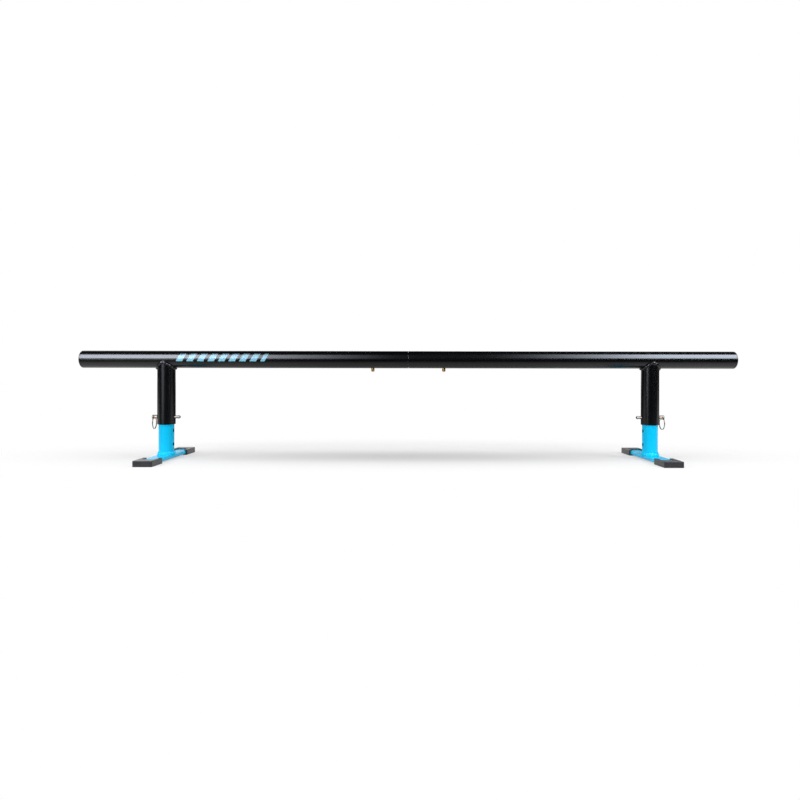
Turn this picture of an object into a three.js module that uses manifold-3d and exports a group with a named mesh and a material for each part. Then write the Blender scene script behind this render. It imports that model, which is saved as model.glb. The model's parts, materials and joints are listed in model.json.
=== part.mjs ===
// Skateboard grind rail: a round steel rail in two halves on two legs of adjustable height.
// Millimetres. +X runs along the rail, +Y goes away from the viewer, +Z is up.
// The origin is on the ground, under the middle of the rail.

import * as THREE from "three";
import { mergeVertices } from "three/addons/utils/BufferGeometryUtils.js";
import Module from "manifold-3d";

const wasm = await Module();
wasm.setup();

// Driving dimensions: stock tubes
const inch = 25.4;
const outerTube = { radius: 24.15, wall: 3.2 }; // rail halves and leg sleeves
const innerTube = { radius: 20.65, wall: 2.6 }; // joiner and foot posts, which telescope in it
const clearance = 0.3; // between pieces that touch or fit together

// Driving dimensions: rail
const railTop = 12 * inch;
const halfLength = 912.5; // of one tube, from the seam to its end
const seamGap = 0.4;
const seamChamfer = 0.7;
const endCap = { thickness: 4, rim: 3.6, spigot: 14, wall: 2.5, lead: 1 };
const joiner = { length: 300, chamfer: 1 };

// Driving dimensions: snap buttons, one each side of the seam, and the leaf springs behind them
const button = { fromSeam: 100, radius: 4.75, proud: 10, dome: 3.8, hole: 5.15, neck: 2 };
const rivet = { radius: 3.4, height: 1, edge: 0.6, play: 0.2 };
const leaf = { width: 9, thickness: 1, hole: 2.3, tail: 7, reach: 45, bend: 4.5, opening: 35, topGap: 0.4 };

// Driving dimensions: legs
const legSpacing = 1362;
const lowestHole = 42.3; // height of the lowest adjustment hole
const holePitch = 1.5 * inch;
const holeCount = 3;
const sleeveBelowPin = 20;
const postAbovePin = 22;
const sleeveMouth = 0.5; // chamfer round the sleeve's lower end
const postRim = 1; // chamfer round the post's upper end
const sleeveWeld = { radius: 3.3, soften: 0.2 };
const postWeld = { out: 2.9, up: 7 };

// Driving dimensions: feet
const footLength = 12 * inch;
const footBar = { width: 42, height: 10, lift: 3, corner: 2.5, wall: 2 };
const footCap = { width: 2 * inch, length: 65, height: 16, endWall: 5, corner: 2, edge: 0.9 };
const capNotch = { width: 32.5, depth: 33, corner: 3 };

// Driving dimensions: lock pins and pull rings
const pin = { radius: 4, hole: 4.9, sleeveHole: 5.6, past: 14.5, nose: 1.4, noseLength: 1.7 };
const pinHead = { radius: 6, length: 14.5, edge: 0.5, ringHole: 2.5, ringFromEnd: 5.2 };
const ball = { radius: 1.5, proud: 0.75, hole: 1.62, fromSleeve: 10.2 };
const ballSpring = { coil: 1.15, wire: 0.22, turns: 4, length: 3.46 };
const pullRing = { radius: 16.8, wire: 1.3, seat: 0.55, yawLeft: 6 };

// How finely round shapes are cut
const sides = { tube: 40, pin: 24, hole: 18, ball: 12, ballRows: 8, wire: 8, ring: 32, coil: 8 };
const rounding = { rim: 3, dome: 4, corner: 3, edge: 2, bend: 5 };

// Worked out from the above
const railHeight = railTop - outerTube.radius;
const pinHeight = lowestHole + (holeCount - 1) * holePitch;
const sleeveBottom = pinHeight - sleeveBelowPin;
const barTop = footBar.lift + footBar.height;
const outerBore = outerTube.radius - outerTube.wall;
const innerBore = innerTube.radius - innerTube.wall;
const through = 2 * outerTube.radius; // far enough to pass right through a tube, from its middle

// A finish has a colour, how rough it is and how metallic it is.
const finishes = {
  blackCoat: { color: 0x15161a, roughness: 0.38, metalness: 0 },
  blueCoat: { color: 0x00aeea, roughness: 0.4, metalness: 0 },
  rubber: { color: 0x3b3d42, roughness: 0.8, metalness: 0 },
  nickel: { color: 0xc9c3bc, roughness: 0.22, metalness: 1 },
  brass: { color: 0xc39a4b, roughness: 0.3, metalness: 1 },
  springSteel: { color: 0x8d9196, roughness: 0.35, metalness: 1 },
  bareSteel: { color: 0x9a9da1, roughness: 0.45, metalness: 1 },
};

// Turns a closed geometry into a solid that can be joined and cut.
function solid(geometry) {
  const loose = geometry.index ? geometry.toNonIndexed() : geometry.clone();
  loose.deleteAttribute("normal");
  loose.deleteAttribute("uv");
  const merged = mergeVertices(loose, 1e-4);
  const index = merged.index.array;
  const kept = [];
  for (let i = 0; i < index.length; i += 3) {
    const [a, b, c] = [index[i], index[i + 1], index[i + 2]];
    if (a !== b && b !== c && c !== a) kept.push(a, b, c);
  }
  const vertProperties = merged.attributes.position.array;
  return new wasm.Manifold(new wasm.Mesh({ numProp: 3, vertProperties, triVerts: new Uint32Array(kept) }));
}

// Revolves a profile of [radius, height] points about Z. A profile that leaves the axis closes on itself.
function revolve(profile, segments) {
  const endsOnAxis = profile[0][0] === 0 && profile.at(-1)[0] === 0;
  const points = profile.map(([r, h]) => new THREE.Vector2(r, h));
  if (!endsOnAxis) points.push(points[0].clone());
  if (THREE.ShapeUtils.area(points) < 0) points.reverse();
  return new THREE.LatheGeometry(points, segments).rotateX(Math.PI / 2);
}

// A round bar about Z, from one height to another.
function bar(radius, from, to, segments) {
  return revolve([[0, from], [radius, from], [radius, to], [0, to]], segments);
}

// A tube about Z with its outer edges chamfered by the given amounts at the bottom and the top.
function tube(size, from, to, low = 0, high = 0) {
  const bore = size.radius - size.wall;
  const profile = [[bore, from], [size.radius - low, from]];
  if (low) profile.push([size.radius, from + low]);
  if (high) profile.push([size.radius, to - high]);
  profile.push([size.radius - high, to], [bore, to]);
  return revolve(profile, sides.tube);
}

const alongX = (geometry) => geometry.rotateY(Math.PI / 2);
const alongY = (geometry) => geometry.rotateX(-Math.PI / 2);

// A rectangle with round corners, as a shape or as the path of a hole in one.
function roundRect(width, height, corner, Kind = THREE.Shape) {
  const path = new Kind();
  const x = width / 2 - corner;
  const y = height / 2 - corner;
  path.absarc(x, -y, corner, -Math.PI / 2, 0);
  path.absarc(x, y, corner, 0, Math.PI / 2);
  path.absarc(-x, y, corner, Math.PI / 2, Math.PI);
  path.absarc(-x, -y, corner, Math.PI, 1.5 * Math.PI);
  path.closePath();
  return path;
}

// Adds a solid to a group as a named mesh with a material of its own.
function add(group, name, shape, finish) {
  const { vertProperties, triVerts } = shape.getMesh();
  const geometry = new THREE.BufferGeometry();
  geometry.setAttribute("position", new THREE.BufferAttribute(vertProperties, 3));
  geometry.setIndex(new THREE.BufferAttribute(triVerts, 1));
  geometry.computeVertexNormals();
  const mesh = new THREE.Mesh(geometry, new THREE.MeshStandardMaterial(finishes[finish]));
  mesh.name = name;
  group.add(mesh);
  return mesh;
}

// One half of the rail, with the hole for its snap button underneath. It runs along +X from the seam.
function railHalf() {
  const half = solid(alongX(tube(outerTube, seamGap / 2, halfLength, seamChamfer, 0)));
  return half.subtract(buttonHole(1));
}

// What a snap button's hole takes out of the tubes, to the right of the seam or the left.
function buttonHole(direction) {
  const hole = bar(button.hole, -through, 0, sides.hole);
  return solid(hole.translate(direction * button.fromSeam, 0, 0));
}

// The end cap: a disc with a rolled rim and a hollow spigot that grips the bore. It runs along +X.
function railEndCap() {
  const { thickness, rim, spigot, wall, lead } = endCap;
  const face = halfLength + clearance;
  const grip = outerBore - clearance;
  const profile = [[0, face + thickness]];
  for (let i = rounding.rim; i >= 0; i--) {
    const turn = (i / rounding.rim) * (Math.PI / 2);
    const round = outerTube.radius - rim;
    profile.push([round + rim * Math.cos(turn), face + thickness - rim + rim * Math.sin(turn)]);
  }
  profile.push([outerTube.radius, face], [grip, face], [grip, face - spigot + lead]);
  profile.push([grip - lead, face - spigot], [grip - wall, face - spigot], [grip - wall, face], [0, face]);
  return solid(alongX(revolve(profile, sides.tube)));
}

// The tube inside the rail that bridges the seam, with a hole for each snap button.
function joinerTube() {
  const half = joiner.length / 2;
  const whole = solid(alongX(tube(innerTube, -half, half, joiner.chamfer, joiner.chamfer)));
  return whole.subtract(buttonHole(1)).subtract(buttonHole(-1));
}

// The snap button, pointing down: a domed plug with a neck riveted through the leaf spring.
function snapButton() {
  const tip = -(outerTube.radius + button.proud);
  const shoulder = leafUnderside() - rivet.play;
  const profile = [];
  for (let i = 0; i <= rounding.dome; i++) {
    const turn = (i / rounding.dome) * (Math.PI / 2);
    profile.push([button.radius * Math.sin(turn), tip + button.dome * (1 - Math.cos(turn))]);
  }
  const under = leafUnderside() + leaf.thickness + rivet.play;
  profile.push([button.radius, shoulder], [button.neck, shoulder], [button.neck, under]);
  profile.push([rivet.radius, under], [rivet.radius - rivet.edge, under + rivet.height]);
  profile.push([0, under + rivet.height]);
  return solid(revolve(profile, sides.pin).translate(button.fromSeam, 0, 0));
}

// The leaf lies as low in the joiner as its width lets it.
function leafUnderside() {
  return -Math.sqrt((innerBore - clearance) ** 2 - (leaf.width / 2) ** 2);
}

// The V-shaped leaf spring: its lower leg carries the button, its upper leg presses on top of the bore.
function leafSpring() {
  const low = leafUnderside() + leaf.thickness / 2;
  const opening = THREE.MathUtils.degToRad(leaf.opening);
  const path = new THREE.Path();
  path.moveTo(leaf.tail, low);
  path.lineTo(-leaf.reach, low);
  path.absarc(-leaf.reach, low + leaf.bend, leaf.bend, -Math.PI / 2, Math.PI / 2 + opening, true);
  const turned = path.getPoints(rounding.bend).at(-1);
  const climb = -low - leaf.topGap - turned.y;
  path.lineTo(turned.x + climb / Math.tan(opening), turned.y + climb);
  const outline = ribbon(path.getPoints(rounding.bend), leaf.thickness);
  const strip = new THREE.ExtrudeGeometry(outline, { depth: leaf.width, bevelEnabled: false });
  strip.rotateX(Math.PI / 2).translate(button.fromSeam, leaf.width / 2, 0);
  const hole = bar(leaf.hole, low - leaf.thickness, low + leaf.thickness, sides.hole);
  return solid(strip).subtract(solid(hole.translate(button.fromSeam, 0, 0)));
}

// The outline of a strip of the given thickness along a list of points.
function ribbon(points, thickness) {
  const upper = [];
  const lower = [];
  points.forEach((point, i) => {
    const before = points[Math.max(i - 1, 0)];
    const after = points[Math.min(i + 1, points.length - 1)];
    const across = new THREE.Vector2(before.y - after.y, after.x - before.x).setLength(thickness / 2);
    upper.push(point.clone().add(across));
    lower.unshift(point.clone().sub(across));
  });
  return new THREE.Shape([...upper, ...lower]);
}

// The leg sleeve: a tube coped to the rail above it, with its weld bead and the holes for the lock pin.
function legSleeve() {
  const radius = outerTube.radius;
  const bead = new THREE.TorusGeometry(radius, sleeveWeld.radius, sides.wire, sides.tube);
  const at = bead.attributes.position;
  for (let i = 0; i < at.count; i++) {
    const alongRail = Math.cos(Math.atan2(at.getY(i), at.getX(i)));
    at.setZ(i, at.getZ(i) + railHeight - radius * Math.hypot(alongRail, sleeveWeld.soften));
  }
  const cope = alongX(bar(radius + clearance, -through, through, sides.tube)).translate(0, 0, railHeight);
  const bore = bar(outerBore, 0, railHeight, sides.tube);
  const pinHole = alongX(bar(pin.sleeveHole, -through, through, sides.hole)).translate(0, 0, pinHeight);
  return solid(tube(outerTube, sleeveBottom, railHeight, sleeveMouth, 0))
    .add(solid(bead))
    .subtract(solid(cope))
    .subtract(solid(bore))
    .subtract(solid(pinHole));
}

// The foot post: a tube with a row of adjustment holes along X and a tall weld bead round its base.
function footPost() {
  const base = barTop + clearance;
  const bead = new THREE.TorusGeometry(innerTube.radius, postWeld.out, sides.wire, sides.tube);
  bead.scale(1, 1, postWeld.up / postWeld.out).translate(0, 0, base);
  const below = bar(through, 0, base, sides.tube);
  const bore = bar(innerBore, 0, base + 2 * postWeld.up, sides.tube);
  let post = solid(tube(innerTube, base, pinHeight + postAbovePin, 0, postRim))
    .add(solid(bead))
    .subtract(solid(below))
    .subtract(solid(bore));
  for (let i = 0; i < holeCount; i++) {
    const height = lowestHole + i * holePitch;
    const hole = alongX(bar(pin.hole, -through, through, sides.hole)).translate(0, 0, height);
    post = post.subtract(solid(hole));
  }
  return post;
}

// The foot bar: flat rectangular tube across the rail.
function flatBar() {
  const { width, height, lift, corner, wall } = footBar;
  const length = footLength - 2 * (footCap.endWall + clearance);
  const section = roundRect(width, height, corner);
  section.holes.push(roundRect(width - 2 * wall, height - 2 * wall, corner - wall, THREE.Path));
  const shape = new THREE.ExtrudeGeometry(section, {
    depth: length,
    bevelEnabled: false,
    curveSegments: rounding.corner,
  });
  return solid(shape.translate(0, 0, -length / 2).rotateX(Math.PI / 2).translate(0, 0, lift + height / 2));
}

// The rubber foot cap on the bar's far end: a block with a pocket for the bar and a notch in its top.
function rubberCap() {
  const { width, length, height, endWall, corner, edge } = footCap;
  const outline = roundRect(width - 2 * edge, length - 2 * edge, corner);
  const block = new THREE.ExtrudeGeometry(outline, {
    depth: height - 2 * edge,
    bevelThickness: edge,
    bevelSize: edge,
    bevelSegments: rounding.edge,
    curveSegments: rounding.edge,
  });
  const pocketWidth = footBar.width + 2 * clearance;
  const pocketHeight = footBar.height + 2 * clearance;
  const pocket = new THREE.BoxGeometry(pocketWidth, length, pocketHeight);
  const notch = new THREE.ExtrudeGeometry(roundRect(capNotch.width, 2 * capNotch.depth, capNotch.corner), {
    depth: height,
    bevelEnabled: false,
    curveSegments: rounding.corner,
  });
  const middle = (footLength - length) / 2;
  const inner = footLength / 2 - length;
  return solid(block.translate(0, middle, edge))
    .subtract(solid(pocket.translate(0, middle - endWall, footBar.lift + footBar.height / 2)))
    .subtract(solid(notch.translate(0, inner, barTop)));
}

// The lock pin, its head towards +X: a shaft through sleeve and post, with a cross hole for the ring
// in the head and one for the detent balls near the tip.
function lockPin() {
  const head = outerTube.radius + clearance;
  const end = head + pinHead.length;
  const tip = -(outerTube.radius + pin.past);
  const profile = [
    [0, tip],
    [pin.radius - pin.nose, tip],
    [pin.radius - pin.nose / 3, tip + pin.noseLength / 2],
    [pin.radius, tip + pin.noseLength],
    [pin.radius, head],
    [pinHead.radius - pinHead.edge, head],
    [pinHead.radius, head + pinHead.edge],
    [pinHead.radius, end - pinHead.edge],
    [pinHead.radius - pinHead.edge, end],
    [0, end],
  ];
  const ringHole = alongY(bar(pinHead.ringHole, -through, through, sides.hole));
  const ballHole = bar(ball.hole, -through, through, sides.hole);
  return solid(alongX(revolve(profile, sides.pin)))
    .subtract(solid(ringHole.translate(ringPivot(), 0, 0)))
    .subtract(solid(ballHole.translate(ballPlace(), 0, 0)));
}

// How far from the sleeve's axis the pull ring hangs and the detent balls sit.
function ringPivot() {
  return outerTube.radius + clearance + pinHead.length - pinHead.ringFromEnd;
}
function ballPlace() {
  return -(outerTube.radius + ball.fromSleeve);
}

// A detent ball, above the pin's axis or below it.
function detentBall(up) {
  const height = up * (pin.radius + ball.proud - ball.radius);
  const shape = new THREE.SphereGeometry(ball.radius, sides.ball, sides.ballRows).rotateX(Math.PI / 2);
  return solid(shape.translate(ballPlace(), 0, height));
}

// The coil spring between the balls, as one tube along a helix.
function detentSpring() {
  class Helix extends THREE.Curve {
    getPoint(t) {
      const turn = t * ballSpring.turns * 2 * Math.PI;
      const height = (t - 0.5) * ballSpring.length;
      return new THREE.Vector3(ballSpring.coil * Math.cos(turn), ballSpring.coil * Math.sin(turn), height);
    }
  }
  const round = new THREE.Shape();
  round.absarc(0, 0, ballSpring.wire, 0, 2 * Math.PI);
  const wire = new THREE.ExtrudeGeometry(round, {
    steps: ballSpring.turns * sides.coil,
    curveSegments: rounding.corner,
    extrudePath: new Helix(),
  });
  return solid(wire.translate(ballPlace(), 0, 0));
}

// The pull ring, hanging in the head's cross hole.
function ringShape(yaw) {
  const shape = new THREE.TorusGeometry(pullRing.radius, pullRing.wire, sides.wire, sides.ring);
  shape.rotateY(Math.PI / 2).translate(0, 0, pullRing.seat - pullRing.radius);
  shape.rotateZ(THREE.MathUtils.degToRad(yaw)).translate(ringPivot(), 0, 0);
  return solid(shape);
}

const grindRail = new THREE.Group();

// The rail halves, their end caps and the parts of the joint between them. The left half is the right
// half turned about the vertical, so everything is made once, pointing along +X.
const railLine = new THREE.Group();
railLine.position.z = railHeight;
grindRail.add(railLine);
add(railLine, "joiner_tube", joinerTube(), "bareSteel");
for (const side of ["left", "right"]) {
  const half = new THREE.Group();
  half.rotation.z = side === "left" ? Math.PI : 0;
  railLine.add(half);
  add(half, `rail_tube_${side}`, railHalf(), "blackCoat");
  add(half, `rail_end_cap_${side}`, railEndCap(), "blackCoat");
  add(half, `snap_button_${side}`, snapButton(), "brass");
  add(half, `snap_spring_${side}`, leafSpring(), "springSteel");
}

// The legs. Each one is made with its lock pin's head towards +X, and the left one is turned about.
for (const side of ["left", "right"]) {
  const isLeft = side === "left";
  const leg = new THREE.Group();
  leg.position.x = ((isLeft ? -1 : 1) * legSpacing) / 2;
  leg.rotation.z = isLeft ? Math.PI : 0;
  grindRail.add(leg);
  add(leg, `leg_sleeve_${side}`, legSleeve(), "blackCoat");
  add(leg, `foot_post_${side}`, footPost(), "blueCoat");
  add(leg, `foot_bar_${side}`, flatBar(), "blueCoat");
  add(leg, `foot_cap_${side}_${isLeft ? "front" : "rear"}`, rubberCap(), "rubber");
  const opposite = add(leg, `foot_cap_${side}_${isLeft ? "rear" : "front"}`, rubberCap(), "rubber");
  opposite.rotation.z = Math.PI;

  const lock = new THREE.Group();
  lock.position.z = pinHeight;
  leg.add(lock);
  add(lock, `lock_pin_${side}`, lockPin(), "nickel");
  add(lock, `detent_ball_${side}_upper`, detentBall(1), "nickel");
  add(lock, `detent_ball_${side}_lower`, detentBall(-1), "nickel");
  add(lock, `detent_spring_${side}`, detentSpring(), "springSteel");
  add(lock, `pull_ring_${side}`, ringShape(isLeft ? pullRing.yawLeft : 0), "nickel");
}

export default grindRail;
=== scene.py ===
import json
import math

import bpy
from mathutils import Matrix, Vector

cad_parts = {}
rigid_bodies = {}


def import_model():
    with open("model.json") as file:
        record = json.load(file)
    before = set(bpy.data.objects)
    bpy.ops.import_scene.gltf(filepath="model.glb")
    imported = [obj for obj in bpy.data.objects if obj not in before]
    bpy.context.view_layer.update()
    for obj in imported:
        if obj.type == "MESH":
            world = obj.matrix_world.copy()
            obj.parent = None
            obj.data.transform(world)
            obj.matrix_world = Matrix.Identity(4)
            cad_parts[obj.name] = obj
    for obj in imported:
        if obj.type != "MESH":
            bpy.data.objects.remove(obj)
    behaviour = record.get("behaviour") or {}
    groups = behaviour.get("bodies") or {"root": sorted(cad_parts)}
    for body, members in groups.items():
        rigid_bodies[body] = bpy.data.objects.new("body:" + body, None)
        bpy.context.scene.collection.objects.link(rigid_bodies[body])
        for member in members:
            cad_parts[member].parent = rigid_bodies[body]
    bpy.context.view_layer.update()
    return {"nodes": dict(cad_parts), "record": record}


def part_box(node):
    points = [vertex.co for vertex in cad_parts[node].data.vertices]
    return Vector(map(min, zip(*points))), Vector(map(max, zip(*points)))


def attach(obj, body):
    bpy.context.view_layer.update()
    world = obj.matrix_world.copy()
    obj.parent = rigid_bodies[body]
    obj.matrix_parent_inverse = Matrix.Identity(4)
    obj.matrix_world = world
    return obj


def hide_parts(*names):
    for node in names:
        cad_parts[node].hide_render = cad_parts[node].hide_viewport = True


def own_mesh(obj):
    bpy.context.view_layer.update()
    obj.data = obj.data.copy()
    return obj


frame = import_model()
print("frame loaded,", len(frame["nodes"]), "pieces")

near = 0.00001  # points closer than this are in the same place
sharp = math.radians(50)  # faces that meet at more than this have an edge to round off
crease = 35  # degrees, faces that meet at less are shaded as one round surface


# Small helpers for working as by hand


def only(obj):  # selects this object alone and makes it the active one
    if bpy.context.object and bpy.context.object.mode != "OBJECT":
        bpy.ops.object.mode_set(mode="OBJECT")
    bpy.ops.object.select_all(action="DESELECT")
    obj.select_set(True)
    bpy.context.view_layer.objects.active = obj


def settle(obj):  # its place, turn and scale go into its mesh
    only(obj)
    bpy.ops.object.transform_apply(location=True, rotation=True, scale=True)
    return obj


def useModifier(obj, kind, **settings):
    only(obj)
    modifier = obj.modifiers.new(kind.title(), kind)
    for key, value in settings.items():
        setattr(modifier, key, value)
    bpy.ops.object.modifier_apply(modifier=modifier.name)


def roundEdges(obj, width, steps):  # rounds off every sharp edge
    useModifier(obj, "BEVEL", width=width, segments=steps, limit_method="ANGLE", angle_limit=sharp)


def cut(obj, *tools):
    for tool in tools:
        useModifier(obj, "BOOLEAN", operation="DIFFERENCE", solver="EXACT", object=tool)
        bpy.data.objects.remove(tool)


def addCylinder(name, radius, start, end, facets, fill="NGON"):
    run = Vector(end) - Vector(start)
    bpy.ops.object.select_all(action="DESELECT")
    bpy.ops.mesh.primitive_cylinder_add(
        vertices=facets, radius=radius, depth=run.length, end_fill_type=fill,
        location=(Vector(start) + Vector(end)) / 2, rotation=run.to_track_quat("Z", "X").to_euler(),
    )
    bpy.context.object.name = name
    return settle(bpy.context.object)


def addBox(name, low, high):
    low, high = Vector(low), Vector(high)
    bpy.ops.object.select_all(action="DESELECT")
    bpy.ops.mesh.primitive_cube_add(size=1, location=(low + high) / 2, scale=high - low)
    bpy.context.object.name = name
    return settle(bpy.context.object)


def addTorus(name, major, minor, majorSteps, minorSteps):
    bpy.ops.object.select_all(action="DESELECT")
    bpy.ops.mesh.primitive_torus_add(
        major_radius=major, minor_radius=minor, major_segments=majorSteps, minor_segments=minorSteps,
    )
    bpy.context.object.name = name
    return bpy.context.object


def editFaces(obj, test):  # enters edit mode with the faces that pass the test selected
    only(obj)
    bpy.ops.object.mode_set(mode="EDIT")
    bpy.ops.mesh.select_mode(type="FACE")
    bpy.ops.mesh.select_all(action="DESELECT")
    bpy.ops.object.mode_set(mode="OBJECT")
    for face in obj.data.polygons:
        face.select = test(face)
    bpy.ops.object.mode_set(mode="EDIT")


def editEdges(obj, test):  # the same for edges, by their two end points
    only(obj)
    bpy.ops.object.mode_set(mode="EDIT")
    bpy.ops.mesh.select_mode(type="EDGE")
    bpy.ops.mesh.select_all(action="DESELECT")
    bpy.ops.object.mode_set(mode="OBJECT")
    points = obj.data.vertices
    for edge in obj.data.edges:
        edge.select = test(points[edge.vertices[0]].co, points[edge.vertices[1]].co)
    bpy.ops.object.mode_set(mode="EDIT")


def extrude(x, y, z):
    bpy.ops.mesh.extrude_region_move(TRANSFORM_OT_translate={"value": (x, y, z)})


def leaveEdit():
    bpy.ops.object.mode_set(mode="OBJECT")


def tidyMesh(obj):  # merges doubles, removes slivers and turns the faces outwards
    editFaces(obj, lambda face: True)
    bpy.ops.mesh.remove_doubles(threshold=near / 10)
    bpy.ops.mesh.dissolve_degenerate(threshold=near / 10)
    bpy.ops.mesh.normals_make_consistent(inside=False)
    leaveEdit()


def dress(obj, node, material, smoothTo):  # a finished piece that stands for a node of the frame
    settle(obj)
    bpy.ops.object.shade_smooth_by_angle(angle=math.radians(smoothTo))
    useModifier(obj, "WEIGHTED_NORMAL", keep_sharp=True)
    obj.data.materials.clear()
    obj.data.materials.append(material)
    body = next(b for b, members in frame["record"]["behaviour"]["bodies"].items() if node in members)
    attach(obj, body)
    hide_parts(node)


# What repeats is made once, on the right. Each place is a list of turns that bring a copy there.

railMiddle = ((0, 0, 0), 180, "Z")


def onBothSides(part):
    return {part + "_right": [], part + "_left": [railMiddle]}


def setOut(shape, suffix, places, materials, smoothTo=crease):
    made = {}
    for node, turns in places.items():
        only(shape)
        bpy.ops.object.duplicate()
        piece = bpy.context.object
        piece.name = f"{node}_{suffix}"
        for centre, angle, axis in turns:
            only(piece)
            bpy.ops.transform.rotate(value=math.radians(angle), orient_axis=axis, center_override=centre)
        material = materials[node] if isinstance(materials, dict) else materials
        dress(piece, node, material, smoothTo)
        made[node] = piece
    bpy.data.objects.remove(shape)
    return made


def press(spring, joint, reach):  # reads how far the joint travels and gives the spring a mesh of its own; the spring's shape stays as it is
    joints = frame["record"]["behaviour"]["joints"]
    travel = next(j["range_m"][1] for j in joints if j["name"] == joint)
    1 - travel / reach
    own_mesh(spring)


# Shading. A Wire is one output socket, so that shader maths reads as plain expressions.


class Wire:
    def __init__(self, shading, socket):
        self.shading = shading
        self.socket = socket

    def math(self, operation, *others):
        return self.shading.node("ShaderNodeMath", {"operation": operation}, dict(enumerate((self, *others))))

    def __add__(self, other):
        return self.math("ADD", other)

    def __sub__(self, other):
        return self.math("SUBTRACT", other)

    def __rsub__(self, other):
        return self.shading.node("ShaderNodeMath", {"operation": "SUBTRACT"}, {0: other, 1: self})

    def __mul__(self, other):
        return self.math("MULTIPLY", other)

    def __truediv__(self, other):
        return self.math("DIVIDE", other)

    __radd__ = __add__
    __rmul__ = __mul__


class Shading:
    def __init__(self, owner):  # the owner is a material, a lamp or the world
        owner.use_nodes = True
        self.owner = owner
        self.tree = owner.node_tree
        self.tree.nodes.clear()

    def node(self, kind, settings=None, sockets=None, out=0):
        made = self.tree.nodes.new(kind)
        for key, value in (settings or {}).items():
            setattr(made, key, value)
        for key, value in (sockets or {}).items():
            if isinstance(value, Wire):
                self.tree.links.new(value.socket, made.inputs[key])
            else:
                made.inputs[key].default_value = value
        return Wire(self, made.outputs[out]) if made.outputs else None

    def split(self, vector):  # its x, y and z
        made = self.tree.nodes.new("ShaderNodeSeparateXYZ")
        self.tree.links.new(vector.socket, made.inputs[0])
        return [Wire(self, output) for output in made.outputs]

    def ramp(self, value, low, high):  # 0 below low, 1 above high
        ends = {"Value": value, "From Min": low, "From Max": high}
        return self.node("ShaderNodeMapRange", {"clamp": True}, ends)

    def rays(self, *kinds):  # for each kind, 1 where such a ray arrives
        return [self.node("ShaderNodeLightPath", out=f"Is {kind} Ray") for kind in kinds]

    def mix(self, share, first, second):
        mixer = self.tree.nodes.new("ShaderNodeMix")
        mixer.data_type = "RGBA"
        for socket, value in (("Factor_Float", share), ("A_Color", first), ("B_Color", second)):
            target = next(s for s in mixer.inputs if s.identifier == socket)
            if isinstance(value, Wire):
                self.tree.links.new(value.socket, target)
            else:
                target.default_value = value
        return Wire(self, next(s for s in mixer.outputs if s.identifier == "Result_Color"))


class Finish(Shading):
    def __init__(self, name):
        super().__init__(bpy.data.materials.new(name))
        self.place = self.node("ShaderNodeTexCoord", out="Object")

    def noise(self, scale, detail=2, stretch=(1, 1, 1)):
        at = self.node("ShaderNodeMapping", {}, {"Vector": self.place, "Scale": stretch})
        return self.node("ShaderNodeTexNoise", {}, {"Vector": at, "Scale": scale, "Detail": detail})

    def distance(self, scale, shift):  # length of the place after it is scaled and shifted
        at = self.node("ShaderNodeMapping", {}, {"Vector": self.place, "Scale": scale, "Location": shift})
        return self.node("ShaderNodeVectorMath", {"operation": "LENGTH"}, {0: at}, "Value")

    def bump(self, height, strength, distance):
        return self.node("ShaderNodeBump", {}, {"Height": height, "Strength": strength, "Distance": distance})

    def surface(self, **sockets):
        named = {words(key): value for key, value in sockets.items()}
        shader = self.node("ShaderNodeBsdfPrincipled", {}, named)
        self.node("ShaderNodeOutputMaterial", {}, {"Surface": shader})
        return self.owner


def words(key):  # "baseColor" is spelt "Base Color" on the shader
    spelt = {"baseColor": "Base Color", "specular": "Specular IOR Level"}
    return spelt.get(key, key.capitalize())


def grey(value):
    return (value, value, value, 1)


# Where things are, read from the frame

tubeLow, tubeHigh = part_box("rail_tube_right")
railRadius = (tubeHigh.z - tubeLow.z) / 2
railZ = (tubeHigh.z + tubeLow.z) / 2
postLow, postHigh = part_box("foot_post_right")
legX = (postLow.x + postHigh.x) / 2
pinZ = sum(corner.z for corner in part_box("lock_pin_right")) / 2
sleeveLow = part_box("leg_sleeve_right")[0].z
barLow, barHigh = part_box("foot_bar_right")
buttonX = sum(corner.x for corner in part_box("snap_button_right")) / 2

stock = {"wall": 0.0032, "innerRadius": 0.02065, "innerWall": 0.0026, "facets": 160, "holeFacets": 64}


# Finishes


blackCoatLook = {
    "colour": (0.0012, 0.0013, 0.0018, 1),
    "dusty": (0.0026, 0.0027, 0.0032, 1),
    "cloud": (9, 3),  # every noise is given by its scale per metre and its detail
    "cloudEdges": (0.35, 0.75),
    "roughness": 0.16,
    "uneven": 0.05,
    "speck": (2600, 1),
    "specular": 0.5,
    "peel": (620, 1.5),  # orange peel
    "peelStrength": 0.04,
    "peelDepth": 0.00006,
}


def blackCoat(name, graphic=None, rougher=0):
    look = blackCoatLook
    finish = Finish(name)
    cloud = finish.noise(*look["cloud"])
    colour = finish.mix(finish.ramp(cloud, *look["cloudEdges"]), look["colour"], look["dusty"])
    roughness = look["roughness"] + rougher + look["uneven"] * (cloud + finish.noise(*look["speck"]))
    if graphic:
        share, paint = graphic(finish)
        colour = finish.mix(share, colour, paint)
    normal = finish.bump(finish.noise(*look["peel"]), look["peelStrength"], look["peelDepth"])
    return finish.surface(baseColor=colour, roughness=roughness, specular=look["specular"], normal=normal)


blueCoatLook = {
    "colour": (0.0, 0.54, 0.9, 1),
    "pale": (0.002, 0.57, 0.93, 1),
    "deep": (0.0, 0.012, 0.05, 1),  # dark inside the bore and on the walls of the holes, and painted shade on the part of the post inside the sleeve
    "cloud": (14, 3),
    "cloudEdges": (0.3, 0.7),
    "roughness": 0.2,
    "uneven": 0.06,
    "speck": (2400, 1),
    "specular": 0.2,
    "peel": (640, 1.5),
    "peelStrength": 0.1,
    "peelDepth": 0.00006,
}


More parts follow.
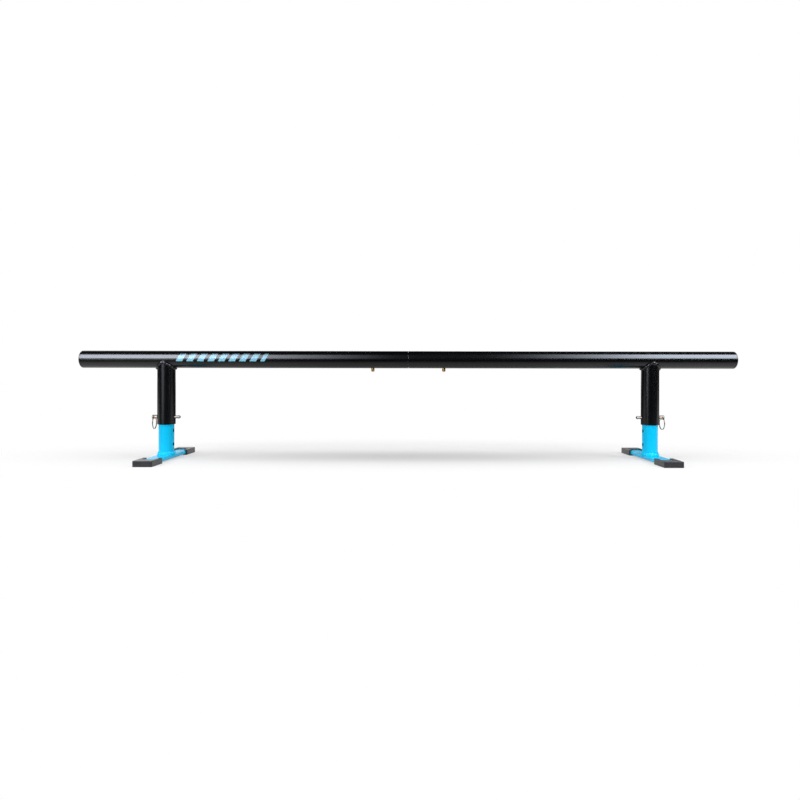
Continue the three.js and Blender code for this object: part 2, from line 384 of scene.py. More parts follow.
def blueCoat(name, darkInside=None):
    look = blueCoatLook
    finish = Finish(name)
    cloud = finish.noise(*look["cloud"])
    colour = finish.mix(finish.ramp(cloud, *look["cloudEdges"]), look["colour"], look["pale"])
    # dark bore, and painted shade on the part inside the sleeve
    if darkInside:
        colour = finish.mix(darkInside(finish), colour, look["deep"])
    normal = finish.bump(finish.noise(*look["peel"]), look["peelStrength"], look["peelDepth"])
    roughness = look["roughness"] + look["uneven"] * finish.noise(*look["speck"])
    return finish.surface(baseColor=colour, roughness=roughness, specular=look["specular"], normal=normal)


darkInsideLook = {"boreEdge": (0.0002, 0.0006), "sleeveShadeEdge": 0.001}  # over which the dark bore and the painted shade inside the sleeve come in


def insidePost(finish):  # the post's bore and the walls of its holes, which are darkened, and the part that slides in the sleeve, which gets painted shade
    x, y, z = finish.split(finish.place)
    across = x.math("ABSOLUTE") - legX
    reach = (across * across + y * y).math("SQRT")
    within = finish.ramp(stock["innerRadius"] - reach, *darkInsideLook["boreEdge"])
    # painted shade on the part of the post inside the sleeve, from the sleeve's lower end upwards
    sleeveShade = finish.ramp(z - sleeveLow, 0, darkInsideLook["sleeveShadeEdge"])
    return 1 - (1 - within) * (1 - sleeveShade)


rubberLook = {
    "colour": (0.012, 0.012, 0.015, 1),
    "bloom": (0.038, 0.039, 0.045, 1),  # the pale bloom and speckle on moulded rubber
    "roughness": 0.2,
    "uneven": 0.1,
    "specular": 0.5,
    "grain": (1500, 3),
    "grainStrength": 0.12,
    "grainDepth": 0.00012,
    "patch": (60, 2),
    "patchShare": 0.25,  # of the patches in where the bloom lies, the rest follows the grain
    "bloomEdges": (0.44, 0.66),
}


def mouldedRubber():
    look = rubberLook
    finish = Finish("mouldedRubber")
    grain = finish.noise(*look["grain"])
    patch = finish.noise(*look["patch"])
    spread = grain * (1 - look["patchShare"]) + patch * look["patchShare"]
    speckle = finish.ramp(spread, *look["bloomEdges"])
    colour = finish.mix(speckle, look["colour"], look["bloom"])
    normal = finish.bump(grain, look["grainStrength"], look["grainDepth"])
    roughness = look["roughness"] + look["uneven"] * grain
    return finish.surface(baseColor=colour, roughness=roughness, specular=look["specular"], normal=normal)


metalLook = {
    "cloud": (120, 3),
    "tarnishEdges": (0.45, 0.8),
    "uneven": 0.06,
    "scratch": (900, 2),
    "scratchStrength": 0.08,
    "scratchDepth": 0.00005,
    "kinds": {
        # name: (colour, roughness, tarnish, how the scratches are squeezed along each axis)
        "nickelPlate": ((0.5, 0.45, 0.4, 1), 0.08, (0.24, 0.2, 0.16, 1), (1, 1, 1)),
        "brassPlate": ((0.74, 0.5, 0.19, 1), 0.2, (0.5, 0.3, 0.1, 1), (1, 1, 1)),
        "springSteel": ((0.33, 0.34, 0.36, 1), 0.3, (0.2, 0.2, 0.22, 1), (1, 1, 1)),
        "bareSteel": ((0.42, 0.43, 0.44, 1), 0.38, (0.3, 0.3, 0.31, 1), (0.05, 1, 1)),
    },
}


def metal(name):
    look = metalLook
    colour, roughness, tarnish, squeeze = look["kinds"][name]
    finish = Finish(name)
    cloud = finish.noise(*look["cloud"])
    scratch = finish.noise(*look["scratch"], squeeze)
    shade = finish.mix(finish.ramp(cloud, *look["tarnishEdges"]), colour, tarnish)
    normal = finish.bump(scratch, look["scratchStrength"], look["scratchDepth"])
    roughness = roughness + look["uneven"] * scratch
    return finish.surface(baseColor=shade, metallic=1, roughness=roughness, normal=normal)


# Marks on the left half of the rail: plain slanted bars in pale blue


markLook = {
    "start": -0.646,  # along the rail
    "pitch": 0.0293,
    "count": 9,
    "width": 0.62,  # of the pitch
    "lastWidth": 0.62,  # of the last bar, which is cut short
    "slant": 0.55,  # how far a bar leans over its own height
    "middle": 0.0048,  # above the rail's axis
    "height": 0.0215,
    # the bars darken towards the top: painted shade that offsets the strong light on the rail's top
    "top": (0.08, 0.16, 0.21, 1),
    "bottom": (0.26, 0.62, 0.8, 1),
    "edges": (0.0003, 0.001),  # over which the bars fade out, upwards and towards the back of the rail
    "endEdge": 0.01,  # the same at both ends of the row, in pitches
    "barEdge": 0.012,
}


def slantedBars(finish):
    look = markLook
    x, y, z = finish.split(finish.place)
    up = z - (railZ + look["middle"])
    upEdge, backEdge = look["edges"]
    inBand = finish.ramp(look["height"] / 2 - up.math("ABSOLUTE"), 0, upEdge)
    inFront = finish.ramp(0 - y, 0, backEdge)
    along = (x - look["start"] - look["slant"] * up) / look["pitch"]
    started = finish.ramp(along, 0, look["endEdge"])
    missing = 1 - look["lastWidth"]
    ended = finish.ramp(look["count"] - along, missing, missing + look["endEdge"])
    edge = 0.5 * look["width"] - (along.math("FRACT") - 0.5).math("ABSOLUTE")
    inBar = finish.ramp(edge, 0, look["barEdge"])
    # share of the painted shade, growing towards the top of the bars
    height = finish.ramp(up, -look["height"] / 2, look["height"] / 2)
    return inBand * inFront * started * ended * inBar, finish.mix(height, look["bottom"], look["top"])


black = blackCoat("blackPowderCoat")
blackMarked = blackCoat("blackPowderCoatMarked", slantedBars)
blackWeld = blackCoat("blackPowderCoatWeld", rougher=0.05)
blue = blueCoat("bluePowderCoat")
bluePost = blueCoat("bluePowderCoatPost", insidePost)
rubber = mouldedRubber()
nickel = metal("nickelPlate")
brass = metal("brassPlate")
springSteel = metal("springSteel")
bareSteel = metal("bareSteel")
print("materials made")

# Camera, floor and lights

view = {
    "place": (0, -1.651, 0.231),
    "focalPixels": 586,
    "picture": 800,
    "centre": (408.3, 377.35),  # where the lens axis meets the picture, in its pixels
    "roll": -0.0016,
    "sensor": 36,  # millimetres
    "clip": (0.05, 100),
}


def makeCamera():
    data = bpy.data.cameras.new("camera")
    data.sensor_width = view["sensor"]
    data.lens = view["focalPixels"] / view["picture"] * data.sensor_width
    data.shift_x = 0.5 - view["centre"][0] / view["picture"]
    data.shift_y = view["centre"][1] / view["picture"] - 0.5
    data.dof.use_dof = False
    data.clip_start, data.clip_end = view["clip"]
    camera = bpy.data.objects.new("camera", data)
    camera.location = view["place"]
    camera.rotation_euler = (math.pi / 2, view["roll"], 0)
    bpy.context.collection.objects.link(camera)
    bpy.context.scene.camera = camera


studio = {
    "ambient": 0.42,  # what the room gives to matt surfaces
    "dark": 0.004,  # what the dark side of the room, behind the camera and above, shows in glossy ones
    "backdropTop": (0.3, 0.45),  # the backdrop behind the object fades out between these heights
    "backdropSides": (0.77, 0.9),  # and between these turns to the side, as shares of straight ahead
    "backdropRight": (0.2, 0.4),  # to the right it also dims between these, by this share
    "backdropDims": 0.65,
    "lamps": {
        # name: (place, aims at, width, height, colour, brightness, what it lights)
        "boxLeft": ((-1.225, -1.265, 1.233), (-1.225, 0, 0.28), 2.25, 1.5, (0.83, 0.88, 1), 14, "gloss"),
        "boxRight": ((1.475, -1.037, 1.452), (1.475, 0, 0.28), 2.25, 1.6, (0.8, 0.88, 1), 15.5, "gloss"),
        "stripLeft": ((-1.3, -1.43, 0.5), (0, 0, 0.5), 0.8, 1, (0.9, 0.94, 1), 1.25, "gloss"),
        "metalLeft": ((-1.3, -1.3, 1.3), (-0.68, 0, 0.12), 1.6, 1.6, (1, 0.98, 0.95), 1.8, "gloss"),
        "metalRight": ((1.3, -1.3, 1.3), (0.68, 0, 0.12), 1.6, 1.6, (1, 0.98, 0.95), 3, "gloss"),
        "backLeft": ((-1.6, 1.2, 1.5), (-0.6, 0, 0.25), 1.2, 0.5, (1, 1, 1), 0.4, "gloss"),
        "backRight": ((1.6, 1.2, 1.5), (0.6, 0, 0.25), 1.2, 0.5, (1, 1, 1), 0.15, "gloss"),
        "fillLeft": ((-1.6, -1.45, 0.9), (-0.6, 0, 0.1), 1.1, 1, (1, 1, 1), 7.2, "matt"),
        "fillRight": ((1.75, -1.2, 0.9), (0.6, 0, 0.1), 1, 1, (1, 1, 1), 7.6, "matt"),
        "fillMiddle": ((-0.35, -0.75, 0.3), (0.68, 0, 0.08), 0.6, 0.5, (1, 1, 1), 3, "matt"),
        "overhead": ((0, -0.4, 2), (0, -0.4, 0), 3, 1.2, (1, 1, 1), 1.95, "matt"),
    },
    "fades": {"boxLeft": (0.06, 1.2), "boxRight": (0.5, 1.4)},  # towards the middle, between these distances
    "fadePower": 1.6,
}


def makeWorld():
    world = bpy.data.worlds.new("room")
    bpy.context.scene.world = world
    shading = Shading(world)
    x, y, z = shading.split(shading.node("ShaderNodeTexCoord", out="Generated"))
    low, high = studio["backdropTop"]
    behind = shading.ramp(y, *studio["backdropSides"]) * (1 - shading.ramp(z, low, high))
    behind = behind * (1 - studio["backdropDims"] * shading.ramp(x, *studio["backdropRight"]))
    camera, matt, glossy, clear = shading.rays("Camera", "Diffuse", "Glossy", "Transmission")
    backdrop = camera + (glossy + clear) * behind
    strength = backdrop + matt * studio["ambient"] + studio["dark"] * (1 - backdrop) * (1 - matt)
    background = shading.node("ShaderNodeBackground", {}, {"Color": grey(1), "Strength": strength})
    shading.node("ShaderNodeOutputWorld", {}, {"Surface": background})


floorLook = {
    "reach": 30,
    "colour": 0.86,
    "bounce": 0.3,  # its colour for the light that it throws on matt surfaces
    "darkens": (0.15, 0.7),  # what glossy surfaces see of it dims between these distances from the rail
    "behind": 0.45,  # and more slowly behind the object
    "dims": 0.95,
    "middle": (0.25, 0.95),  # painted shade, seen only in reflections, also darkens it towards the middle of the rail
    "middleDims": 0.3,
    "glow": 0.35,  # share of plain white in what the camera sees
    "whitens": (0.2, 0.5),
    "roundRail": ((0.4, 1, 0), (0, -0.06, 0)),  # scale and shift that draw the distance out along the rail
    "shade": 0.3,  # soft shade under the rail
    "shadeWidth": (0.62, 0.14),
}


def makeFloor():
    look = floorLook
    bpy.ops.object.select_all(action="DESELECT")
    bpy.ops.mesh.primitive_plane_add(size=2 * look["reach"], location=(0, 0, 0))
    floor = bpy.context.object
    floor.name = "floor"
    finish = Finish("paleFloor")
    camera, glossy, clear = finish.rays("Camera", "Glossy", "Transmission")
    scale, shift = look["roundRail"]
    away = finish.distance(scale, shift)
    x, y, z = finish.split(finish.place)
    mirrored = y.math("MINIMUM", look["behind"] * y).math("ABSOLUTE")
    distant = look["dims"] * finish.ramp(mirrored, *look["darkens"])
    # painted shade under the middle of the rail, which glossy surfaces see
    middle = look["middleDims"] * (1 - finish.ramp(x.math("ABSOLUTE"), *look["middle"]))
    unseen = (glossy + clear) * (1 - (1 - distant) * (1 - middle))
    seen = camera + glossy + clear - unseen
    tone = finish.mix(seen, grey(look["bounce"]), grey(look["colour"]))
    white = look["glow"] + (1 - look["glow"]) * finish.ramp(away, *look["whitens"])
    wide, deep = look["shadeWidth"]
    fromShade = finish.distance((1 / wide, 1 / deep, 0), (0, shift[1] / deep, 0))
    shade = look["shade"] * (0 - fromShade * fromShade).math("EXPONENT")
    plain = finish.node("ShaderNodeBsdfDiffuse", {}, {"Color": tone})
    glow = finish.node("ShaderNodeEmission", {}, {"Color": grey(1), "Strength": 1})
    dark = finish.node("ShaderNodeEmission", {}, {"Color": grey(0), "Strength": 0})
    lit = finish.node("ShaderNodeMixShader", {}, {0: seen * white, 1: plain, 2: glow})
    dimmed = camera * shade + unseen
    shaded = finish.node("ShaderNodeMixShader", {}, {0: dimmed, 1: lit, 2: dark})
    finish.node("ShaderNodeOutputMaterial", {}, {"Surface": shaded})
    floor.data.materials.append(finish.owner)


def makeLamps():
    for name, (place, aim, width, height, colour, brightness, lights) in studio["lamps"].items():
        data = bpy.data.lights.new(name, "AREA")
        data.shape = "RECTANGLE"
        data.size = width
        data.size_y = height
        data.color = colour
        data.energy = brightness * math.pi * width * height
        if name in studio["fades"]:
            fadeLamp(data, studio["fades"][name])
        lamp = bpy.data.objects.new(name, data)
        lamp.visible_diffuse = lights == "matt"
        lamp.visible_glossy = lights == "gloss"
        lamp.location = place
        lamp.rotation_euler = (Vector(aim) - Vector(place)).to_track_quat("-Z", "Y").to_euler()
        bpy.context.collection.objects.link(lamp)


def fadeLamp(data, between):
    shading = Shading(data)
    x, y, z = shading.split(shading.node("ShaderNodeNewGeometry", out="Position"))
    strength = shading.ramp(x.math("ABSOLUTE"), *between).math("POWER", studio["fadePower"])
    emission = shading.node("ShaderNodeEmission", {}, {"Strength": strength})
    shading.node("ShaderNodeOutputLight", {}, {"Surface": emission})


makeCamera()
makeWorld()
makeFloor()
makeLamps()
bpy.context.scene.view_settings.view_transform = "Standard"
print("camera, floor and lights made")

# Rail halves and end caps

railLook = {"seamChamfer": 0.0006, "endChamfer": 0.0002, "chamferSteps": 3, "buttonHole": 0.00515}


def makeRailTubes():
    look = railLook
    low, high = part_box("rail_tube_right")
    tube = addCylinder("tube", railRadius, (low.x, 0, railZ), (high.x, 0, railZ), stock["facets"], "NOTHING")
    useModifier(tube, "SOLIDIFY", thickness=stock["wall"], offset=-1)
    for end, chamfer in ((low.x, look["seamChamfer"]), (high.x, look["endChamfer"])):
        editEdges(tube, lambda a, b: isRim(a, b, end))
        bpy.ops.mesh.bevel(offset=chamfer, segments=look["chamferSteps"])
        leaveEdit()
    hole = addCylinder("hole", look["buttonHole"], (buttonX, 0, railZ - 2 * railRadius), (buttonX, 0, railZ),
                       stock["holeFacets"])
    cut(tube, hole)
    coats = {"rail_tube_right": black, "rail_tube_left": blackMarked}
    setOut(tube, "coated", onBothSides("rail_tube"), coats)


def isRim(a, b, x):  # an edge that runs round the rail's axis at x
    outFromAxis = [math.hypot(point.y, point.z - railZ) for point in (a, b)]
    return max(abs(a.x - x), abs(b.x - x), abs(outFromAxis[0] - outFromAxis[1])) < near


capLook = {"thickness": 0.004, "rim": 0.0021, "rimSteps": 8, "grip": 0.02065, "wall": 0.0025, "spigot": 0.014}


def makeEndCaps():
    look = capLook
    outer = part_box("rail_end_cap_right")[1].x
    face = outer - look["thickness"]
    cap = addCylinder("cap", railRadius, (face, 0, railZ), (outer, 0, railZ), stock["facets"])
    editFaces(cap, lambda f: abs(f.center.x - face) < near)
    bpy.ops.mesh.inset(thickness=railRadius - look["grip"])
    extrude(-look["spigot"], 0, 0)
    bpy.ops.mesh.inset(thickness=look["wall"])
    extrude(look["spigot"], 0, 0)
    leaveEdit()
    editEdges(cap, lambda a, b: min(a.x, b.x) > outer - near)
    bpy.ops.mesh.bevel(offset=look["rim"], segments=look["rimSteps"])
    leaveEdit()
    setOut(cap, "coated", onBothSides("rail_end_cap"), black)


makeRailTubes()
makeEndCaps()
print("rail made")

# Leg sleeves, coped to the rail, and their weld beads

sleeveLook = {
    "mouth": 0.0005, "mouthSteps": 3, "pinHole": 0.0056, "facets": 128, "copeGap": 0.0001, "copeFacets": 256,
}


def makeSleeves():
    look = sleeveLook
    ends = (legX, 0, sleeveLow), (legX, 0, railZ)
    sleeve = addCylinder("sleeve", railRadius, *ends, look["facets"], "NOTHING")
    useModifier(sleeve, "SOLIDIFY", thickness=stock["wall"], offset=-1)
    useModifier(sleeve, "BEVEL", width=look["mouth"], segments=look["mouthSteps"], limit_method="ANGLE")
    left, right = legX - 2 * railRadius, legX + 2 * railRadius
    cope = railRadius + look["copeGap"]
    rail = addCylinder("rail", cope, (left, 0, railZ), (right, 0, railZ), look["copeFacets"])
    hole = addCylinder("hole", look["pinHole"], (left, 0, pinZ), (right, 0, pinZ), stock["holeFacets"])
    cut(sleeve, rail, hole)
    setOut(sleeve, "coated", onBothSides("leg_sleeve"), black)


dabFullness = 0.6  # below 1 a dab is fuller than a half wave


def ripple(turn, count, phase=0):  # rounded steps along a weld, one for each dab of the torch
    return abs(math.sin(turn * count / 2 + phase)) ** dabFullness


sleeveBead = {
    "front": 0.0044,  # radius of the bead at the front and back of the leg
    "side": 0.003,
    "soften": 0.38,  # how much the bead's saddle is flattened at the front
    "steps": 400,
    "around": 24,
    "dabs": 13,
    "dabPhase": 0.75 * math.pi,
    "dabHeight": 0.0012,
    "ripples": 57,
    "rippleHeight": 0.0002,
    "crease": 60,
}


def makeSleeveWelds():
    look = sleeveBead
    bead = addTorus("bead", railRadius, look["front"], look["steps"], look["around"])
    thin = look["side"] / look["front"]
    for vertex in bead.data.vertices:
        turn = math.atan2(vertex.co.y, vertex.co.x)
        middle = Vector((railRadius * math.cos(turn), railRadius * math.sin(turn), 0))
        proud = look["dabHeight"] * ripple(turn, look["dabs"], look["dabPhase"])
        proud += look["rippleHeight"] * ripple(turn, look["ripples"])
        size = thin + (1 - thin) * abs(math.sin(turn)) + (proud - look["dabHeight"] / 2) / look["front"]
        saddle = railRadius * math.hypot(math.cos(turn), look["soften"])
        vertex.co = middle + (vertex.co - middle) * size + Vector((legX, 0, railZ - saddle))
    setOut(bead, "weld", onBothSides("leg_sleeve"), blackWeld, look["crease"])


makeSleeves()
makeSleeveWelds()
print("leg sleeves made")

# Feet: post with its height holes and weld, flat bar, rubber caps

postLook = {
    "pinHole": 0.0049, "pitch": 0.0381, "holes": 3, "rim": 0.0008, "rimSteps": 3,
    "holeEdge": 0.0003, "holeEdgeSteps": 2, "facets": 112,
}


def makePosts():
    look = postLook
    radius = stock["innerRadius"]
    ends = (legX, 0, barHigh.z), (legX, 0, postHigh.z)
    post = addCylinder("post", radius, *ends, look["facets"], "NOTHING")
    useModifier(post, "SOLIDIFY", thickness=stock["innerWall"], offset=-1)
    useModifier(post, "BEVEL", width=look["rim"], segments=look["rimSteps"], limit_method="ANGLE")
    for i in range(look["holes"]):
        z = pinZ - i * look["pitch"]
        ends = (legX - 2 * radius, 0, z), (legX + 2 * radius, 0, z)
        cut(post, addCylinder("hole", look["pinHole"], *ends, stock["holeFacets"]))
    roundEdges(post, look["holeEdge"], look["holeEdgeSteps"])
    tidyMesh(post)
    setOut(post, "coated", onBothSides("foot_post"), bluePost)


postBead = {
    "out": 0.0029,
    "up": 0.0068,
    "below": 0.0004,  # how far the bead sinks into the bar
    "steps": 380,
    "around": 22,
    "dabs": 17,
    "dabHeight": 0.0012,
    "ripples": 71,
    "rippleHeight": 0.0003,
    "crease": 60,
}


def makePostWelds():
    look = postBead
    radius = stock["innerRadius"]
    bead = addTorus("bead", radius, look["out"], look["steps"], look["around"])
    for vertex in bead.data.vertices:
        turn = math.atan2(vertex.co.y, vertex.co.x)
        middle = Vector((radius * math.cos(turn), radius * math.sin(turn), 0))
        proud = look["dabHeight"] * ripple(turn, look["dabs"])
        proud += look["rippleHeight"] * ripple(turn, look["ripples"])
        out = (vertex.co - middle) * (1 + (proud - look["dabHeight"] / 2) / look["out"])
        out.z = max(out.z * look["up"] / look["out"], -look["below"])
        vertex.co = middle + out + Vector((legX, 0, barHigh.z))
    setOut(bead, "weld", onBothSides("foot_post"), blue, look["crease"])


barLook = {"corner": 0.0025, "cornerSteps": 6, "wall": 0.002, "openDepth": 0.03}


def makeBars():
    look = barLook
    bar = addBox("bar", barLow, barHigh)
    editEdges(bar, lambda a, b: abs(a.y - b.y) > (barHigh.y - barLow.y) / 2)
    bpy.ops.mesh.bevel(offset=look["corner"], segments=look["cornerSteps"])
    leaveEdit()
    for end, inward in ((barLow.y, 1), (barHigh.y, -1)):
        editFaces(bar, lambda f: abs(f.center.y - end) < near)
        bpy.ops.mesh.inset(thickness=look["wall"])
        extrude(0, inward * look["openDepth"], 0)
        leaveEdit()
    setOut(bar, "coated", onBothSides("foot_bar"), blue)


footCapLook = {
    "corner": 0.002, "cornerSteps": 5, "edge": 0.0008, "edgeSteps": 4, "mouldEdge": 0.0004,
    "mouldEdgeSteps": 2, "endWall": 0.005, "play": 0.0003,
    "notchWidth": 0.0325, "notchDepth": 0.033, "notchCorner": 0.003, "notchCornerSteps": 6,
}


def makeFootCaps():
    look = footCapLook
    low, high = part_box("foot_cap_right_rear")
    beyond = 0.02  # how far the cutting tools reach past the cap
    cap = addBox("cap", low, high)
    editEdges(cap, lambda a, b: abs(a.z - b.z) > (high.z - low.z) / 2)
    bpy.ops.mesh.bevel(offset=look["corner"], segments=look["cornerSteps"])
    leaveEdit()
    roundEdges(cap, look["edge"], look["edgeSteps"])
    play = look["play"]
    pocket = addBox("pocket", (barLow.x - play, low.y - beyond, barLow.z - play),
                    (barHigh.x + play, high.y - look["endWall"], barHigh.z + play))
    tip = low.y + look["notchDepth"]
    notch = addBox("notch", (legX - look["notchWidth"] / 2, low.y - beyond, barHigh.z),
                   (legX + look["notchWidth"] / 2, tip, high.z + beyond))
    editEdges(notch, lambda a, b: abs(a.z - b.z) > look["edge"] and abs(a.y - tip) < near)
    bpy.ops.mesh.bevel(offset=look["notchCorner"], segments=look["notchCornerSteps"])
    leaveEdit()
    cut(cap, pocket, notch)
    roundEdges(cap, look["mouldEdge"], look["mouldEdgeSteps"])
    tidyMesh(cap)
    legMiddle = ((legX, 0, 0), 180, "Z")
    places = {
        "foot_cap_right_rear": [], "foot_cap_right_front": [legMiddle],
        "foot_cap_left_front": [railMiddle], "foot_cap_left_rear": [legMiddle, railMiddle],
    }
    setOut(cap, "moulded", places, rubber)


makePosts()
makePostWelds()
makeBars()
makeFootCaps()
print("feet made")

# Lock pins, pull rings and detent balls

pinLook = {
    "radius": 0.004, "head": 0.006, "headLength": 0.0145, "edge": 0.0005, "edgeSteps": 4, "tip": 0.0012,
    "tipSteps": 6, "ringHole": 0.0025, "ringFromEnd": 0.0052, "ballHole": 0.00162, "facets": 64,
}


def makeLockPins():
    look = pinLook
    low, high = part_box("lock_pin_right")
    shoulder = high.x - look["headLength"]
    pin = addCylinder("pin", look["head"], (shoulder, 0, pinZ), (high.x, 0, pinZ), look["facets"])
    editFaces(pin, lambda f: abs(f.center.x - shoulder) < near)
    bpy.ops.mesh.inset(thickness=look["head"] - look["radius"])
    extrude(low.x - shoulder, 0, 0)
    leaveEdit()
    editEdges(pin, lambda a, b: max(a.x, b.x) < low.x + near)
    bpy.ops.mesh.bevel(offset=look["tip"], segments=look["tipSteps"])
    leaveEdit()
    outFromAxis = look["head"] - near
    editEdges(pin, lambda a, b: abs(a.x - b.x) < near
              and min(math.hypot(a.y, a.z - pinZ), math.hypot(b.y, b.z - pinZ)) > outFromAxis)
    bpy.ops.mesh.bevel(offset=look["edge"], segments=look["edgeSteps"])
    leaveEdit()
    ringX = high.x - look["ringFromEnd"]
    ballX = sum(corner.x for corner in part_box("detent_ball_right_upper")) / 2
    wide = 2 * look["head"]
    facets = stock["holeFacets"]
    ringHole = addCylinder("hole", look["ringHole"], (ringX, -wide, pinZ), (ringX, wide, pinZ), facets)
    ballHole = addCylinder("hole", look["ballHole"], (ballX, 0, pinZ - wide), (ballX, 0, pinZ + wide), facets)
    cut(pin, ringHole, ballHole)
    setOut(pin, "plated", onBothSides("lock_pin"), nickel)


ringLook = {
    "thick": 0.0013,  # of one turn, along the ring's axis
    "wide": 0.0021,
    "turns": 2,
    "jog": 0.6,  # over this angle the wire crosses from one turn to the next
    "gap": 0.12,  # angle between the wire's two ends
    "start": 0.9,
    "steps": 200,
    "sectionSteps": 16,
    "yawLeft": -6,  # without a window the turn goes the other way
    "crease": 50,
}


def makePullRings():  # split rings: two turns of flattened wire side by side, crossing in one short jog
    look = ringLook
    low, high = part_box("pull_ring_right")
    radius = (high.z - low.z - look["wide"]) / 2
    wire = bpy.data.curves.new("ring", "CURVE")
    wire.dimensions = "3D"
    spline = wire.splines.new("POLY")
    spline.points.add(look["steps"])
    for i, point in enumerate(spline.points):
        turn = (2 * math.pi * look["turns"] - look["gap"]) * i / look["steps"]
        share = min(max((turn - 2 * math.pi) / look["jog"] + 1, 0), 1)
        aside = (share * share * (3 - 2 * share) - 0.5) * look["thick"]
        angle = turn + look["start"]
        point.co = (aside, radius * math.sin(angle), radius * math.cos(angle), 1)
    section = bpy.data.curves.new("section", "CURVE")
    section.dimensions = "2D"
    outline = section.splines.new("POLY")
    outline.points.add(look["sectionSteps"] - 1)
    for i, point in enumerate(outline.points):
        angle = 2 * math.pi * i / look["sectionSteps"]
        point.co = (look["thick"] / 2 * math.cos(angle), look["wide"] / 2 * math.sin(angle), 0, 1)
    outline.use_cyclic_u = True
    sectionObject = bpy.data.objects.new("section", section)
    wire.bevel_mode = "OBJECT"
    wire.bevel_object = sectionObject
    wire.use_fill_caps = True
    ring = bpy.data.objects.new("ring", wire)
    ring.location = (low + high) / 2
    bpy.context.collection.objects.link(ring)
    only(ring)
    bpy.ops.object.convert(target="MESH")
    ring = settle(bpy.context.object)
    bpy.data.objects.remove(sectionObject)
    tidyMesh(ring)
    leftLow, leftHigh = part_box("pull_ring_left")
    places = onBothSides("pull_ring")
    places["pull_ring_left"].append(((leftLow + leftHigh) / 2, look["yawLeft"], "Z"))
    setOut(ring, "split", places, nickel, look["crease"])


ballLook = {"divisions": 4, "crease": 60}


def makeDetentBalls():  # a cube divided finely and drawn out to a ball
    look = ballLook
    low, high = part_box("detent_ball_right_upper")
    bpy.ops.object.select_all(action="DESELECT")
    bpy.ops.mesh.primitive_cube_add(size=high.z - low.z, location=(low + high) / 2)
    ball = bpy.context.object
    useModifier(ball, "SUBSURF", levels=look["divisions"], render_levels=look["divisions"])
    useModifier(ball, "CAST", factor=1)
    ball.dimensions = high - low
    settle(ball)
    underPin = (((low.x + high.x) / 2, 0, pinZ), 180, "X")
    places = {
        "detent_ball_right_upper": [], "detent_ball_right_lower": [underPin],
        "detent_ball_left_upper": [railMiddle], "detent_ball_left_lower": [underPin, railMiddle],
    }
    setOut(ball, "polished", places, nickel, look["crease"])


makeLockPins()
makePullRings()
makeDetentBalls()
print("lock pins made")

# Snap buttons

buttonLook = {
    "dome": 0.0038, "domeSteps": 10, "neck": 0.002, "neckHeight": 0.0014,
    "rivet": 0.0034, "rivetHeight": 0.001, "facets": 72,
}


def makeSnapButtons():
    look = buttonLook
    low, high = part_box("snap_button_right")
    radius = (high.y - low.y) / 2
    shoulder = high.z - look["rivetHeight"] - look["neckHeight"]
    button = addCylinder("button", radius, (buttonX, 0, low.z), (buttonX, 0, shoulder), look["facets"])
    editEdges(button, lambda a, b: max(a.z, b.z) < low.z + near)
    bpy.ops.mesh.bevel(offset=look["dome"], segments=look["domeSteps"])
    leaveEdit()
    editFaces(button, lambda f: abs(f.center.z - shoulder) < near)
    bpy.ops.mesh.inset(thickness=radius - look["neck"])
    extrude(0, 0, look["neckHeight"])
    extrude(0, 0, 0)
    wider = look["rivet"] / look["neck"]
    bpy.ops.transform.resize(value=(wider, wider, 1), center_override=(buttonX, 0, shoulder))
    extrude(0, 0, look["rivetHeight"])
    leaveEdit()
    setOut(button, "plated", onBothSides("snap_button"), brass)


makeSnapButtons()
print("snap buttons made")

# Springs: a V shaped leaf behind each button, a coil between the two balls of each pin

leafLook = {
    "thickness": 0.001, "tail": 0.007, "reach": 0.045, "bend": 0.0045, "bendSteps": 14,
    "opening": 35,  # degrees between the two legs
    "hole": 0.0023, "edge": 0.0002, "edgeSteps": 2,
}


def makeLeafSprings():
    look = leafLook
    low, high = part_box("snap_spring_right")
    half, bend, opening = look["thickness"] / 2, look["bend"], math.radians(look["opening"])
    bottom = low.z + half
    path = [(buttonX + look["tail"], bottom)]
    for i in range(look["bendSteps"] + 1):
        turn = -math.pi / 2 - (math.pi - opening) * i / look["bendSteps"]
        x = buttonX - look["reach"] + bend * math.cos(turn)
        path.append((x, bottom + bend + bend * math.sin(turn)))
    climb = high.z - half * math.cos(opening) - path[-1][1]
    path.append((path[-1][0] + climb / math.tan(opening), path[-1][1] + climb))
    strip = bpy.data.curves.new("leaf", "CURVE")
    strip.dimensions = "2D"
    strip.fill_mode = "NONE"
    strip.extrude = (high.y - low.y) / 2
    spline = strip.splines.new("POLY")
    spline.points.add(len(path) - 1)
    for point, (x, z) in zip(spline.points, path):
        point.co = (x, z, 0, 1)
    leaf = bpy.data.objects.new("leaf", strip)
    leaf.rotation_euler.x = math.pi / 2
    bpy.context.collection.objects.link(leaf)
    only(leaf)
    bpy.ops.object.convert(target="MESH")
    leaf = settle(bpy.context.object)
    useModifier(leaf, "SOLIDIFY", thickness=look["thickness"], offset=0, use_even_offset=True)
    hole = (buttonX, 0, bottom - bend), (buttonX, 0, bottom + bend)
    cut(leaf, addCylinder("hole", look["hole"], *hole, stock["holeFacets"]))
    roundEdges(leaf, look["edge"], look["edgeSteps"])
    tidyMesh(leaf)
    made = setOut(leaf, "leaf", onBothSides("snap_spring"), springSteel)
    for node, spring in made.items():
        joint = node.replace("spring", "button") + "_press"
        press(spring, joint, reach=high.z - bottom)


coilLook = {"radius": 0.00115, "wire": 0.00022, "halfTurns": 4, "steps": 90, "roundness": 3, "crease": 60}


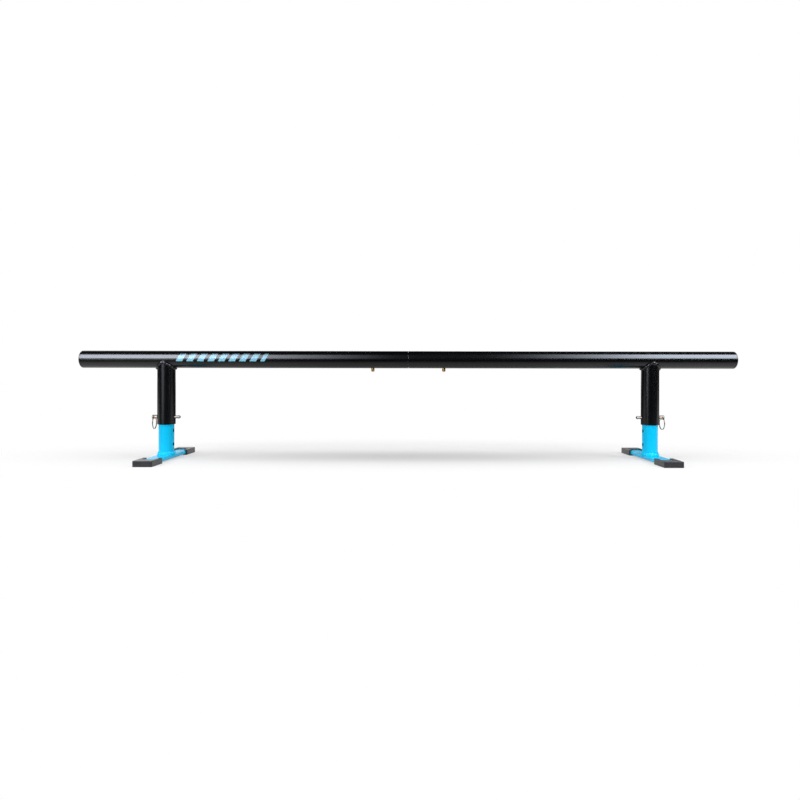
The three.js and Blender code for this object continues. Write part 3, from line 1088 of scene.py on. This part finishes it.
def makeCoilSprings():  # in two halves, one for each ball
    look = coilLook
    low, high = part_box("detent_spring_right")
    middle = (low.x + high.x) / 2, 0, pinZ
    reach = high.z - look["wire"] - pinZ
    wire = bpy.data.curves.new("coil", "CURVE")
    wire.dimensions = "3D"
    wire.bevel_depth = look["wire"]
    wire.bevel_resolution = look["roundness"]
    wire.use_fill_caps = True
    spline = wire.splines.new("POLY")
    spline.points.add(look["steps"])
    for i, point in enumerate(spline.points):
        turn = math.pi * look["halfTurns"] * i / look["steps"]
        around = look["radius"] * math.cos(turn), look["radius"] * math.sin(turn)
        point.co = (*around, reach * i / look["steps"], 1)
    upper = bpy.data.objects.new("coil", wire)
    upper.location = middle
    bpy.context.collection.objects.link(upper)
    only(upper)
    bpy.ops.object.convert(target="MESH")
    upper = settle(bpy.context.object)
    tidyMesh(upper)
    only(upper)
    bpy.ops.object.duplicate()
    lower = bpy.context.object
    bpy.ops.transform.rotate(value=math.pi, orient_axis="X", center_override=middle)
    for half, coil in (("upper", upper), ("lower", lower)):
        places = onBothSides("detent_spring")
        made = setOut(coil, half + "_coil", places, springSteel, look["crease"])
        for node, spring in made.items():
            joint = f"{node.replace('spring', 'ball')}_{half}_press"
            press(spring, joint, reach=reach)


makeLeafSprings()
makeCoilSprings()
print("springs made")

# Some lamps light only some of the pieces, or all but some


def linkLamps(names, state, isMember):
    group = bpy.data.collections.new(names[0] + "Pieces")
    for piece in bpy.context.scene.objects:
        if piece.type == "MESH" and isMember(piece):
            group.objects.link(piece)
    for member in group.collection_objects:
        member.light_linking.link_state = state
    for name in names:
        bpy.data.objects[name].light_linking.receiver_collection = group


def isNickel(piece):
    return nickel.name in piece.data.materials


def isRightFoot(piece):
    return piece.name.startswith("foot_") and "right" in piece.name


linkLamps(["metalLeft", "metalRight"], "INCLUDE", isNickel)
linkLamps(["boxLeft", "boxRight"], "EXCLUDE", isNickel)  # they would burn bright metal out
linkLamps(["fillMiddle"], "INCLUDE", isRightFoot)
print("lamps linked")

# The joiner inside the rail keeps its own shape and takes a finish

joiner = frame["nodes"]["joiner_tube"]
joiner.data.materials.clear()
joiner.data.materials.append(bareSteel)
